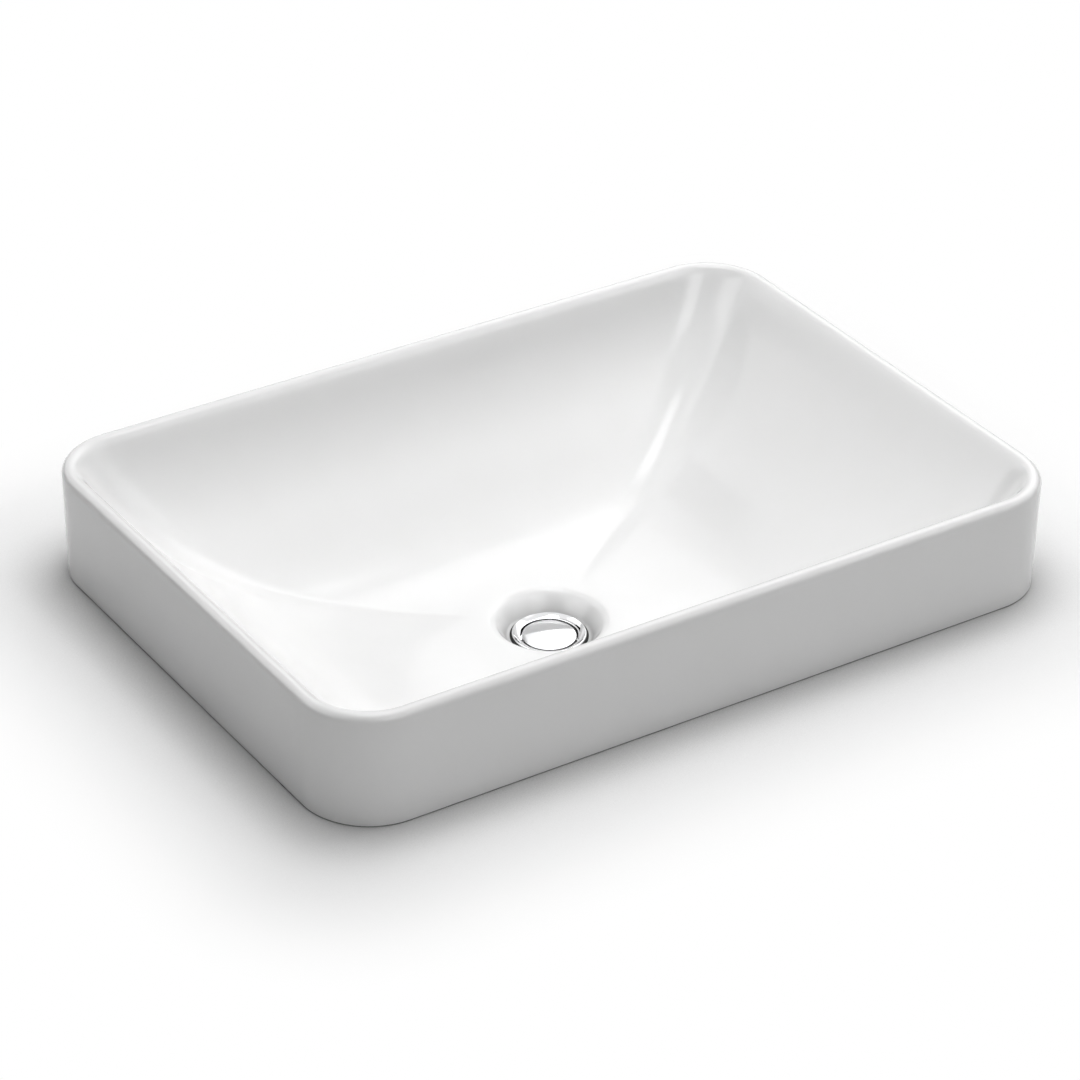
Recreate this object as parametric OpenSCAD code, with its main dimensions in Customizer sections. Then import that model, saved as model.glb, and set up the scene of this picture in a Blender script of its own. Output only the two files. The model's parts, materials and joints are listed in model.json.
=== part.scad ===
// Rectangular countertop basin with a push-down stopper drain, millimetres.
// The basin stands on the counter at z = 0 and its bowl drops through a cut-out.
// X runs along the long side, the front is at negative Y, and the drain is on the Z axis.

/* [Basin outside] */
// Length of the basin along the counter
basin_w = 578; // [520:1:640]
// Depth of the basin from front to back
basin_d = 409; // [360:1:440]
// Height of the rim above the counter
rim_h = 83; // [70:1:110]
// Corner radius of the outside, seen from above
corner_r = 51; // [42:1:62]
// Inward lean of each end wall, rim to foot
end_lean = 1.5; // [0:0.1:6]
// Inward lean of the front and back walls, rim to foot
side_lean = 0.6; // [0:0.1:6]
// Radius of the rim's outer edge
rim_outer_r = 5; // [3:0.5:7]
// Radius of the roll from the rim into the bowl
rim_roll_r = 9.5; // [6:0.5:14]
// Radius of the edge that meets the counter
foot_edge_r = 1.5; // [0.5:0.1:3]

/* [Bowl] */
// Depth of the bowl floor below the counter
bowl_drop = 39.6; // [25:0.1:60]
// How late the two end ramps rise: a higher power is flatter in the middle
end_power = 4; // [2.5:0.1:6]
// How late the front and back walls rise
side_power = 3.9; // [2.5:0.1:6]
// How upright the front and back walls end at the rim
side_upright = 1.25; // [1:0.05:2]
// How late the corner creases widen towards the rim
crease_power = 1.8; // [1:0.1:3]
// Steepness of the roll where it hands over to the bowl walls
roll_angle = 60; // [50:1:70]

/* [Shell] */
// Thickness of the bowl shell
shell_t = 12; // [8:0.5:15]
// Thickness of the skirt, which is the width of the foot
skirt_t = 13; // [9:0.5:16]
// Height at which bowl and skirt grow together
web_h = 28; // [15:1:34]

/* [Sump and outlet] */
// Radius of the round sump at the bowl floor
sump_r = 43.5; // [40:0.5:48]
// Depth of the sump below the bowl floor
sump_depth = 13.6; // [12:0.1:16]
// Steepness of the sump wall
sump_angle = 55; // [50:1:65]
// Radius of the sump's upper edge
sump_edge_r = 8; // [3:0.5:9]
// Radius at the foot of the sump wall
sump_fillet_r = 3; // [1:0.5:4]
// Diameter of the outlet hole in the china
outlet_d = 44.5; // [43:0.1:46]
// Thickness of the china under the flange
boss_t = 12.8; // [9:0.1:18]
// Radius of the flat boss round the outlet
boss_r = 41; // [36:0.5:46]

/* [Drain body] */
// Diameter of the drain flange
flange_d = 52.6; // [51:0.1:54]
// Height of the flange's crest over its underside
flange_t = 2.2; // [1.8:0.1:3]
// Thickness of the gasket under the flange
gasket_t = 1; // [0.5:0.1:2]
// Outside diameter of the gasket under the flange
gasket_d = 55.4; // [53:0.1:56]
// Outside diameter of the threaded tube
tube_d = 41; // [39:0.1:42]
// Length of the threaded tube below the flange
tube_len = 62; // [58:1:90]
// Water way through the drain body
bore_d = 32.4; // [30:0.1:34]
// Length of the socket for the tailpiece
socket_len = 13.5; // [10:0.5:16]
// Depth of the dish from the flange's crest to the well
dish_depth = 2.2; // [1.6:0.1:3]
// Depth of the spider's hub below the throat of the drain
hub_drop = 10.9; // [10:0.1:14]
// Height of the spider that carries the cartridge
spider_h = 8; // [6:0.5:10]
// Number of spider arms
spider_arms = 4; // [3:1:6]
// Width of a spider arm
spider_arm_w = 3; // [2:0.5:4]
// Diameter of the spider's hub
hub_d = 21; // [20:0.5:23]

/* [Fixing below the basin] */
// Outside diameter of the lower gasket
lower_gasket_d = 60; // [56:1:66]
// Thickness of the lower gasket's flange
lower_gasket_t = 8; // [6:0.5:10]
// Room between the gasket's nose and the drain body's shoulder
nose_gap = 1; // [0.5:0.1:1]
// Thickness of the friction washer
friction_t = 1.5; // [1:0.1:2.5]
// Width of the locknut across its flats
nut_flats = 54; // [50:1:60]
// Height of the locknut
nut_h = 9; // [7:0.5:12]

/* [Stopper] */
// Diameter of the stopper cap
cap_d = 38.4; // [37:0.1:39]
// Edge thickness of the cap
cap_t = 2.6; // [2:0.1:3]
// Rise of the cap's dome over its edge
cap_dome = 1; // [0.2:0.1:1.6]
// How far the cap's edge lies below the flange's crest when shut
cap_sink = 2.2; // [1.5:0.1:3]
// Gap between cap and well
cap_gap = 1.1; // [0.8:0.1:1.4]
// Thickness of the rubber seal under the cap
seal_t = 1.5; // [1:0.1:2]
// Thickness of the retainer that holds the seal
retainer_t = 1.2; // [0.8:0.1:1.6]
// Diameter of the threaded post
post_d = 6; // [5:0.5:6]
// Height of the jam nut on the post
jam_h = 3; // [2.5:0.1:3.5]
// Width of the jam nut across its flats
jam_flats = 10; // [9:0.5:11]
// Travel of the stopper from shut to open
lift = 9; // [6:0.5:9]
// Travel below shut, which frees the latch
press = 1; // [0.6:0.1:1.2]

/* [Cartridge] */
// Outside diameter of the cartridge's threaded sleeve
sleeve_d = 14; // [13.6:0.1:15]
// Diameter of the chamber in the sleeve
chamber_d = 10.8; // [10.6:0.1:11.4]
// Diameter of the plunger's stem
stem_d = 7.8; // [7.4:0.1:8]
// Height of the collar on top of the sleeve
collar_h = 3.8; // [3.4:0.1:5]
// Width of the collar across its flats
collar_flats = 17; // [16:0.5:19]
// Thickness of the ring that seals the collar
collar_seal_t = 1.2; // [0.8:0.1:1.6]
// Height of the plunger's head
head_h = 4; // [3:0.5:5]
// Height of the rotor's wings
rotor_h = 4; // [3:0.5:5]
// Number of guide ribs, and of wings on the rotor
guide_ribs = 3; // [2:1:3]
// Width of a guide rib
rib_w = 1.6; // [1.2:0.1:2]
// Length of the spring when the stopper is shut
spring_len = 15; // [12:0.5:16]
// Diameter of the spring's wire
wire_d = 0.8; // [0.5:0.1:0.9]
// Turns of the spring
spring_turns = 7; // [5:1:9]
// Height of the plug that closes the sleeve
plug_h = 4; // [3:0.5:5]

/* [Tailpiece] */
// Outside diameter of the tailpiece
tail_d = 31.75; // [30:0.05:32]
// Wall of the tailpiece
tail_wall = 1.2; // [0.8:0.1:1.5]
// Length of the tailpiece
tail_len = 108; // [80:1:160]
// Thickness of the seal above the tailpiece
tail_seal_t = 1.5; // [1:0.1:2]

/* [Fits] */
// Radial clearance of threads and slip fits
fit = 0.05; // [0.02:0.01:0.1]
// Radial gap between the outlet hole and what hangs in it
outlet_gap = 0.25; // [0.2:0.05:0.4]
// Gap between rubber and a part that moves past it
touch_gap = 0.3; // [0.2:0.05:0.5]

/* [Hidden] */
$fn = 64;

// Levels of the china, from the counter down
floor_z = -bowl_drop;
seat_z = floor_z - sump_depth;
boss_z = seat_z - boss_t;

// Levels of the drain body and the stopper, from the flange down
flange_z = seat_z + gasket_t;
crest_z = flange_z + flange_t;
cap_z = crest_z - cap_sink;
cap_low = cap_z - cap_t;
seal_low = cap_low - seal_t;
retainer_low = seal_low - retainer_t;
jam_low = retainer_low - jam_h;
ledge_z = seal_low - press - touch_gap;
throat_z = ledge_z - 1.5;
hub_z = throat_z - hub_drop;
shoulder_z = throat_z - 1;
nose_z = shoulder_z - nose_gap;
tube_low = flange_z - tube_len;
socket_z = tube_low + socket_len;

// Levels of the cartridge, from the spider's hub
collar_low = hub_z + collar_seal_t;
collar_z = collar_low + collar_h;
wiper_h = 1.5;
chamber_z = collar_low - 0.2;
plunger_z = jam_low - 0.5;
head_z = chamber_z - lift - 2;
head_low = head_z - head_h;
rotor_z = head_low - 0.1;
rotor_low = rotor_z - rotor_h;
rib_low = rotor_z + touch_gap - 0.1;
plug_z = rotor_low - spring_len;
sleeve_low = plug_z - plug_h;

// Radii shared by neighbours
outlet_r = outlet_d / 2;
shoulder_r = outlet_r - outlet_gap;
tube_r = tube_d / 2;
bore_r = bore_d / 2;
cap_r = cap_d / 2;
well_r = cap_r + cap_gap;
boss_hole_r = post_d / 2 + fit;
cap_boss_r = 6.5;
sleeve_r = sleeve_d / 2;
chamber_r = chamber_d / 2;
stem_r = stem_d / 2;
guide_r = chamber_r - 1.1;
wiper_r = stem_r + 1.6;
tail_r = tail_d / 2;
socket_r = tail_r + 1.7;

// Basin outline: columns of the loft in one quarter of a ring
short_n = 6;
arc_n = 10;
long_n = 9;
quarter_n = short_n + arc_n + long_n;
ring_n = 4 * quarter_n;

half_w = basin_w / 2;
half_d = basin_d / 2;
roll_in = rim_outer_r + rim_roll_r * sin(roll_angle);
bowl_top = rim_h - rim_roll_r * (1 - cos(roll_angle));
bowl_w = half_w - roll_in;
bowl_d = half_d - roll_in;
bowl_corner = corner_r - roll_in;
bowl_rise = bowl_top - floor_z;
wall_z = rim_h - rim_outer_r;

// A point of a quarter of a rounded rectangle, counted from the X axis
function quarter_pt(k, hx, hy, r) =
    k <= short_n ? [hx, (hy - r) * k / short_n]
    : k <= short_n + arc_n
        ? [hx - r + r * cos(90 * (k - short_n) / arc_n), hy - r + r * sin(90 * (k - short_n) / arc_n)]
    : [(hx - r) * (quarter_n - k) / long_n, hy];

// The same point for the whole ring, mirrored into each quarter
function ring_pt(j, hx, hy, r) =
    let (q = floor(j / quarter_n), k = j - q * quarter_n)
    let (p = quarter_pt(q % 2 == 0 ? k : quarter_n - k, hx, hy, r))
    [p.x * (q == 1 || q == 2 ? -1 : 1), p.y * (q >= 2 ? -1 : 1)];

function ring(hx, hy, r, z) = [
    for (j = [0 : ring_n - 1])
        let (p = ring_pt(j, hx, hy, r))
        [p.x, p.y, z]
];

// Half length, half depth and crease radius of the bowl where it is s of its full length
function rise(s) = pow(s, end_power);
function bowl_x(s) = bowl_w * s;
function bowl_y(s) = bowl_d * pow(1 - pow(1 - rise(s), side_upright), 1 / side_power);
function bowl_z(s) = floor_z + bowl_rise * rise(s);
function bowl_r(s) = bowl_corner * pow(s, crease_power);

// Height of the bowl at a point near its middle, where the creases are sharp
function floor_at(x, y) =
    floor_z + bowl_rise * max(
        pow(abs(x) / bowl_w, end_power),
        1 - pow(1 - pow(abs(y) / bowl_d, side_power), 1 / side_upright)
    );

// Slopes of the bowl, which set how far the underside steps out
step = 0.004;
function bowl_slope_x(s) = atan2(bowl_z(s + step) - bowl_z(s - step), 2 * step * bowl_w);
function bowl_slope_y(s) = atan2(bowl_z(s + step) - bowl_z(s - step), bowl_y(s + step) - bowl_y(s - step));

// Rings of the open bowl, from the flat middle out to the rim's roll
mid_s = 0.36;
bowl_rings_n = 14;
function bowl_s(i) = 1 - (1 - mid_s) * pow(1 - i / bowl_rings_n, 1.7);
function mid_dir(j) =
    let (p = ring_pt(j, bowl_x(mid_s), bowl_y(mid_s), bowl_r(mid_s)))
    atan2(p.y, p.x);
function round_ring(r, z) = [
    for (j = [0 : ring_n - 1])
        [r * cos(mid_dir(j)), r * sin(mid_dir(j)), z]
];

// Rings between a circle of radius r0 and the bowl's ring at mid_s, dropped by the shell where asked
function middle_ring(r0, t, drop) = [
    for (j = [0 : ring_n - 1])
        let (p = ring_pt(j, bowl_x(mid_s), bowl_y(mid_s), bowl_r(mid_s)))
        let (x = (1 - t) * r0 * cos(mid_dir(j)) + t * p.x, y = (1 - t) * r0 * sin(mid_dir(j)) + t * p.y)
        [x, y, floor_at(x, y) - drop]
];

// Sump wall: a fillet at its foot, a straight wall and a rounded upper edge
sump_bends = (sump_edge_r + sump_fillet_r) * (1 - cos(sump_angle));
sump_run = (sump_depth - sump_bends) / tan(sump_angle);
sump_foot_r = sump_r - (sump_edge_r + sump_fillet_r) * sin(sump_angle) - sump_run;
sump_rings = concat(
    [for (a = [0 : sump_angle / 3 : sump_angle])
        round_ring(sump_foot_r + sump_fillet_r * sin(a), seat_z + sump_fillet_r * (1 - cos(a)))],
    [for (a = [sump_angle : -sump_angle / 4 : 1])
        round_ring(sump_r - sump_edge_r * sin(a), floor_z - sump_edge_r * (1 - cos(a)))]
);

bowl_rings = concat(
    [for (t = [0, 0.2, 0.45, 0.72]) middle_ring(sump_r, t, 0)],
    [for (i = [0 : bowl_rings_n - 1])
        let (s = bowl_s(i))
        ring(bowl_x(s), bowl_y(s), bowl_r(s), bowl_z(s))]
);

// Rim: the roll up out of the bowl, then the outer edge down to the wall
rim_rings = concat(
    [for (a = [roll_angle : -roll_angle / 4 : 0])
        let (o = rim_outer_r + rim_roll_r * sin(a))
        ring(half_w - o, half_d - o, corner_r - o, rim_h - rim_roll_r * (1 - cos(a)))],
    [for (a = [22.5 : 22.5 : 90])
        let (o = rim_outer_r * (1 - sin(a)))
        ring(half_w - o, half_d - o, corner_r - o, wall_z + rim_outer_r * cos(a))]
);

// Skirt: the outer wall leans in towards the foot, and the foot is flat
function lean_ring(z, o) =
    let (f = 1 - z / wall_z)
    ring(half_w - end_lean * f - o, half_d - side_lean * f - o, corner_r - end_lean * f - o, z);
skirt_rings = concat(
    [lean_ring(wall_z / 2, 0)],
    [for (a = [0 : 30 : 90]) lean_ring(foot_edge_r * (1 - sin(a)), foot_edge_r * (1 - cos(a)))],
    [lean_ring(0, skirt_t - 1.5), lean_ring(1.5, skirt_t), lean_ring(web_h, skirt_t)]
);

// Underside of the bowl: the bowl's own rings, one shell thickness further out
web_s = pow((web_h + shell_t - floor_z) / bowl_rise, 1 / end_power);
under_n = 7;
function under_s(i) = web_s - (web_s - mid_s) * pow(i / under_n, 0.8);
function under_x(s) = bowl_x(s) + shell_t * tan(bowl_slope_x(s) / 2);
function under_y(s) = bowl_y(s) + shell_t * tan(bowl_slope_y(s) / 2);
function under_ring(s) = ring(under_x(s), under_y(s), bowl_r(s) + shell_t / 2 * rise(s), bowl_z(s) - shell_t);
web_gap_x = half_w - end_lean * (1 - web_h / wall_z) - skirt_t - under_x(web_s);
web_gap_y = half_d - side_lean * (1 - web_h / wall_z) - skirt_t - under_y(web_s);
web_corner = (corner_r - skirt_t + bowl_r(web_s)) / 2;
web_top = web_h + min(web_gap_x, web_gap_y) / 2;
web_ring = ring(under_x(web_s) + web_gap_x / 2, under_y(web_s) + web_gap_y / 2, web_corner, web_top);
boss_edge_r = 2;
under_rings = concat(
    [web_ring],
    [for (i = [0 : under_n]) under_ring(under_s(i))],
    [for (t = [0.6, 0.25, 0]) middle_ring(boss_r + 12, t, shell_t)],
    [for (p = [[5, 1.2], [2, 5]]) round_ring(boss_r + p.x, floor_z - shell_t - p.y)],
    [round_ring(boss_r, boss_z + boss_edge_r), round_ring(boss_r - boss_edge_r, boss_z)]
);

basin_rings = concat(sump_rings, bowl_rings, rim_rings, skirt_rings, under_rings);
basin_rings_n = len(basin_rings);

// Each ring is joined to the next by two triangles a column, and the ends are closed
basin_faces = concat(
    [[for (j = [0 : ring_n - 1]) ring_n - 1 - j]],
    [for (i = [0 : basin_rings_n - 2]) for (j = [0 : ring_n - 1])
        let (a = i * ring_n + j, b = i * ring_n + (j + 1) % ring_n)
        [a, b, b + ring_n]],
    [for (i = [0 : basin_rings_n - 2]) for (j = [0 : ring_n - 1])
        let (a = i * ring_n + j, b = i * ring_n + (j + 1) % ring_n)
        [a, b + ring_n, a + ring_n]],
    [[for (j = [0 : ring_n - 1]) (basin_rings_n - 1) * ring_n + j]]
);

module basin() {
    color("white")
    difference() {
        polyhedron(points = [for (r = basin_rings) each r], faces = basin_faces, convexity = 6);
        translate([0, 0, boss_z - 1]) cylinder(r = outlet_r, h = boss_t + 2);
    }
}

// A flat ring between two heights
module washer(inner, outer, low, high) {
    translate([0, 0, low])
    difference() {
        cylinder(r = outer, h = high - low);
        translate([0, 0, -1]) cylinder(r = inner, h = high - low + 2);
    }
}

// A hexagonal block by its width across the flats
module hexagon(flats, low, high) {
    translate([0, 0, low]) cylinder(r = flats / sqrt(3), h = high - low, $fn = 6);
}

// Section of the drain body: tube, shoulder, flange with a rounded crest, dish, well, throat and socket
crest_r = 0.9;
dish_start = flange_d / 2 - crest_r;
body_section = concat(
    [[tube_r, tube_low], [tube_r, shoulder_z], [shoulder_r, shoulder_z], [shoulder_r, flange_z]],
    [[flange_d / 2 - 0.3, flange_z], [flange_d / 2, flange_z + 0.3]],
    [for (a = [0 : 18 : 90]) [dish_start + crest_r * cos(a), crest_z - crest_r + crest_r * sin(a)]],
    [for (t = [0.1 : 0.1 : 1])
        [dish_start - t * (dish_start - well_r), crest_z - dish_depth * sin(90 * t)]],
    [[well_r, ledge_z], [bore_r, throat_z], [bore_r, socket_z], [socket_r, socket_z], [socket_r, tube_low]]
);

// A hub on arms that cross the water way, drilled for the cartridge
module spider() {
    translate([0, 0, hub_z - spider_h])
    linear_extrude(spider_h)
    difference() {
        union() {
            circle(r = hub_d / 2);
            for (i = [0 : spider_arms - 1])
                rotate(45 + i * 360 / spider_arms)
                translate([0, -spider_arm_w / 2])
                square([bore_r + 1, spider_arm_w]);
        }
        circle(r = sleeve_r + fit);
    }
}

module drain_body() {
    color("gainsboro") {
        rotate_extrude($fn = 96) polygon(body_section);
        spider();
    }
}

module flange_gasket() {
    color("black") washer(shoulder_r + fit, gasket_d / 2, seat_z, flange_z);
}

// The nose centres the drain in the outlet
module lower_gasket() {
    color("black")
    rotate_extrude($fn = 96)
    polygon([
        [tube_r + fit, boss_z - lower_gasket_t], [lower_gasket_d / 2 - 1, boss_z - lower_gasket_t],
        [lower_gasket_d / 2, boss_z - lower_gasket_t + 1], [lower_gasket_d / 2 - 1.5, boss_z],
        [outlet_r - outlet_gap, boss_z], [tube_r + 0.6, nose_z], [tube_r + fit, nose_z]
    ]);
}

friction_z = boss_z - lower_gasket_t;
module friction_washer() {
    color("ivory") washer(tube_r + fit, lower_gasket_d / 2 - 1, friction_z - friction_t, friction_z);
}

nut_z = friction_z - friction_t;
module locknut() {
    corner = nut_flats / sqrt(3);
    chamfer = corner - nut_flats / 2;
    color("goldenrod")
    difference() {
        intersection() {
            hexagon(nut_flats, nut_z - nut_h, nut_z);
            rotate_extrude($fn = 96)
            polygon([
                [0, nut_z - nut_h], [nut_flats / 2 - 0.5, nut_z - nut_h],
                [corner, nut_z - nut_h + chamfer * 0.6], [corner, nut_z], [0, nut_z]
            ]);
        }
        translate([0, 0, nut_z - nut_h - 1]) cylinder(r = tube_r + fit, h = nut_h + 2);
    }
}

// The collar at the top screws into the drain body's socket
tail_z = socket_z - tail_seal_t;
tail_collar = socket_len - tail_seal_t - 1;
module tailpiece() {
    inner = tail_r - tail_wall;
    color("gainsboro")
    rotate_extrude($fn = 96)
    polygon([
        [inner, tail_z - tail_len], [tail_r, tail_z - tail_len],
        [tail_r, tail_z - tail_collar - 1], [socket_r - fit, tail_z - tail_collar],
        [socket_r - fit, tail_z], [inner, tail_z]
    ]);
}

module tailpiece_seal() {
    color("dimgray") washer(tail_r - tail_wall, socket_r - fit, tail_z, socket_z);
}

// A domed disc with a softened edge and a threaded boss below
module stopper_cap() {
    edge = 0.5;
    color("gainsboro")
    difference() {
        rotate_extrude($fn = 96)
        polygon(concat(
            [[0, seal_low], [cap_boss_r, seal_low], [cap_boss_r, cap_low], [cap_r - edge, cap_low]],
            [[cap_r, cap_low + edge]],
            [for (a = [0 : 30 : 90]) [cap_r - edge + edge * cos(a), cap_z - edge + edge * sin(a)]],
            [for (t = [0.85 : -0.17 : 0.01]) [cap_r * t, cap_z + cap_dome * (1 - t * t)]],
            [[0, cap_z + cap_dome]]
        ));
        translate([0, 0, seal_low - 1]) cylinder(r = boss_hole_r, h = seal_t + 2);
    }
}

module stopper_seal() {
    color("black") washer(cap_boss_r + fit, cap_r - 0.5, seal_low, cap_low);
}

module seal_retainer() {
    color("silver") washer(boss_hole_r, bore_r - 0.6, retainer_low, seal_low);
}

post_low = plunger_z - 7;
module stopper_post() {
    color("silver")
    translate([0, 0, post_low]) cylinder(r = post_d / 2, h = seal_low + 1 - post_low);
}

module jam_nut() {
    color("silver")
    difference() {
        hexagon(jam_flats, jam_low, retainer_low);
        translate([0, 0, jam_low - 1]) cylinder(r = boss_hole_r, h = jam_h + 2);
    }
}

// Places one child for each guide rib, starting at an angle
module around(start) {
    for (i = [0 : guide_ribs - 1])
        rotate([0, 0, start + i * 360 / guide_ribs])
        children();
}

// The head is slotted for the sleeve's guide ribs, so the plunger can't turn
module plunger() {
    slot = rib_w + 0.4;
    color("ivory")
    difference() {
        union() {
            translate([0, 0, head_z]) cylinder(r = stem_r, h = plunger_z - head_z);
            translate([0, 0, head_low]) cylinder(r = chamber_r - 0.1, h = head_h);
        }
        translate([0, 0, post_low]) cylinder(r = boss_hole_r, h = plunger_z - post_low + 1);
        around(0)
            translate([guide_r - 0.2, -slot / 2, head_low - 1]) cube([4, slot, head_h + 2]);
    }
}

// The wings run up between the guide ribs, and the spigot centres the spring
module rotor() {
    wing = 2;
    color("ivory") {
        translate([0, 0, rotor_low]) cylinder(r = guide_r - 0.4, h = rotor_h);
        translate([0, 0, rotor_low - 4]) cylinder(r = spring_r - wire_d, h = 4.5);
        intersection() {
            around(180 / guide_ribs)
                translate([2, -wing / 2, rotor_low]) cube([4, wing, rotor_h]);
            translate([0, 0, rotor_low]) cylinder(r = chamber_r - 0.15, h = rotor_h);
        }
    }
}

module cartridge_sleeve() {
    color("goldenrod")
    difference() {
        union() {
            translate([0, 0, sleeve_low]) cylinder(r = sleeve_r, h = collar_low - sleeve_low);
            hexagon(collar_flats, collar_low, collar_z);
        }
        difference() {
            translate([0, 0, sleeve_low - 1]) cylinder(r = chamber_r, h = chamber_z - sleeve_low + 1);
            around(0)
                translate([guide_r, -rib_w / 2, rib_low]) cube([3, rib_w, chamber_z - rib_low + 1]);
        }
        translate([0, 0, chamber_z - 1]) cylinder(r = stem_r + 0.1, h = collar_h + 3);
        translate([0, 0, collar_z - wiper_h]) cylinder(r = wiper_r, h = wiper_h + 1);
    }
}

// Spring: one unbroken wire swept along a helix between the rotor and the plug
spring_r = guide_r - 0.5;
spring_top = rotor_low - wire_d / 2 - 0.02;
spring_foot = plug_z + wire_d / 2 + 0.02;
spring_steps = 14 * spring_turns;
wire_sides = 6;
function helix(t) =
    [spring_r * cos(360 * spring_turns * t), spring_r * sin(360 * spring_turns * t),
     spring_foot + t * (spring_top - spring_foot)];
spring_points = [
    for (i = [0 : spring_steps]) for (k = [0 : wire_sides - 1])
        let (t = i / spring_steps, turn = 360 * spring_turns * t, c = helix(t))
        let (a = 360 * k / wire_sides, out = wire_d / 2 * cos(a), up = wire_d / 2 * sin(a))
        [c.x + out * cos(turn), c.y + out * sin(turn), c.z + up]
];
spring_faces = concat(
    [[for (k = [0 : wire_sides - 1]) k]],
    [for (i = [0 : spring_steps - 1]) for (k = [0 : wire_sides - 1])
        let (a = i * wire_sides + k, b = i * wire_sides + (k + 1) % wire_sides)
        [a, a + wire_sides, b + wire_sides]],
    [for (i = [0 : spring_steps - 1]) for (k = [0 : wire_sides - 1])
        let (a = i * wire_sides + k, b = i * wire_sides + (k + 1) % wire_sides)
        [a, b + wire_sides, b]],
    [[for (k = [0 : wire_sides - 1]) spring_steps * wire_sides + wire_sides - 1 - k]]
);
spring_pitch = (spring_top - spring_foot) / spring_turns;
echo(spring_gap = spring_pitch - wire_d);

module cartridge_spring() {
    color("silver") polyhedron(points = spring_points, faces = spring_faces, convexity = 10);
}

module cartridge_plug() {
    color("goldenrod")
    difference() {
        union() {
            translate([0, 0, sleeve_low]) cylinder(r = chamber_r - fit, h = plug_h);
            translate([0, 0, plug_z]) cylinder(r = spring_r - wire_d, h = 3);
        }
        translate([-chamber_r, -0.6, sleeve_low - 1]) cube([2 * chamber_r, 1.2, 2.2]);
    }
}

module collar_seal() {
    color("black") washer(sleeve_r + fit, sleeve_r + 1.6, hub_z, collar_low);
}

module stem_wiper() {
    color("black") washer(stem_r + fit, wiper_r - fit, collar_z - wiper_h, collar_z);
}

basin();
drain_body();
flange_gasket();
lower_gasket();
friction_washer();
locknut();
tailpiece();
tailpiece_seal();
stopper_cap();
stopper_seal();
seal_retainer();
stopper_post();
jam_nut();
plunger();
rotor();
cartridge_sleeve();
cartridge_spring();
cartridge_plug();
collar_seal();
stem_wiper();
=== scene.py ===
"""Rectangular countertop basin in white glazed china, with its push-down stopper drain."""

import json
import math

import bmesh
import bpy
import numpy as np
from mathutils import Matrix, Vector


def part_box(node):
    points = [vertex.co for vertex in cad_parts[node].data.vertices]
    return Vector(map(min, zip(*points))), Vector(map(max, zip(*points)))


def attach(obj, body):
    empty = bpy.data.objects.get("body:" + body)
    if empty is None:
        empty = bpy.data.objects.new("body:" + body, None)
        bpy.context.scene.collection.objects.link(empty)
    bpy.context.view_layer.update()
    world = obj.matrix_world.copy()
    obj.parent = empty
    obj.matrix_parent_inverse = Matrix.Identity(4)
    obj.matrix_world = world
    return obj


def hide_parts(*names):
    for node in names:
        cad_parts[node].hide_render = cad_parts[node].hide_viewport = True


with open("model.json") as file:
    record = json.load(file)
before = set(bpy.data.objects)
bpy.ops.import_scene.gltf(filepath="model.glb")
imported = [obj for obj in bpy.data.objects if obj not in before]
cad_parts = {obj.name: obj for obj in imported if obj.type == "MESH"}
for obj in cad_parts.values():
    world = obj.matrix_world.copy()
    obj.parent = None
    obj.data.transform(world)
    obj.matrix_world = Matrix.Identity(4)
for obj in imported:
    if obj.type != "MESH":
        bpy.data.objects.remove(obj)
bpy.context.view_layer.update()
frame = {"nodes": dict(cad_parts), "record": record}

# Sizes are in millimetres and angles in degrees, unless a comment says otherwise
MM = 0.001

# Levels and widths taken from the frame
BASIN_LOW, BASIN_HIGH = [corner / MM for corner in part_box("basin")]
BODY_LOW, BODY_HIGH = [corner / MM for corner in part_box("drain_body")]
CAP_LOW, CAP_HIGH = [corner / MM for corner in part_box("stopper_cap")]
HALF_W = BASIN_HIGH.x
HALF_D = BASIN_HIGH.y
RIM_H = BASIN_HIGH.z
BOSS_Z = BASIN_LOW.z

# The basin's outside
CORNER_R = 51
END_LEAN = 1.5
SIDE_LEAN = 0.6
RIM_OUTER_R = 5
RIM_ROLL_R = 9.5
FOOT_EDGE_R = 1.5
SKIRT_T = 13
WEB_H = 28

# The bowl: its drop below the counter, how late and steep its walls rise, and where its middle ends
BOWL_DROP = 39.6
END_POWER = 4
SIDE_POWER = 3.9
SIDE_UPRIGHT = 1.25
CREASE_POWER = 1.8
ROLL_ANGLE = 60
SHELL_T = 12
MID_S = 0.36

# The sump and the outlet
SUMP_R = 43.5
SUMP_DEPTH = 13.6
SUMP_ANGLE = 55
SUMP_EDGE_R = 8
SUMP_FILLET_R = 3
OUTLET_R = 22.25
OUTLET_EDGE = 0.4
BOSS_R = 41
BOSS_FLARE = 12

FLOOR_Z = -BOWL_DROP
SEAT_Z = FLOOR_Z - SUMP_DEPTH
WALL_Z = RIM_H - RIM_OUTER_R
ROLL_IN = RIM_OUTER_R + RIM_ROLL_R * math.sin(math.radians(ROLL_ANGLE))
BOWL_TOP = RIM_H - RIM_ROLL_R * (1 - math.cos(math.radians(ROLL_ANGLE)))
BOWL_W = HALF_W - ROLL_IN
BOWL_D = HALF_D - ROLL_IN
BOWL_CORNER = CORNER_R - ROLL_IN
BOWL_RISE = BOWL_TOP - FLOOR_Z

# Columns of the basin's mesh in one quarter of a ring
SHORT_N = 12
ARC_N = 22
LONG_N = 18
QUARTER_N = SHORT_N + ARC_N + LONG_N
RING_N = 4 * QUARTER_N

# Rings from the sump to MID_S and on to the rim, and how much closer they stand towards the rim
MIDDLE_N = 14
BOWL_N = 44
CROWDING = 1.7

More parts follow.
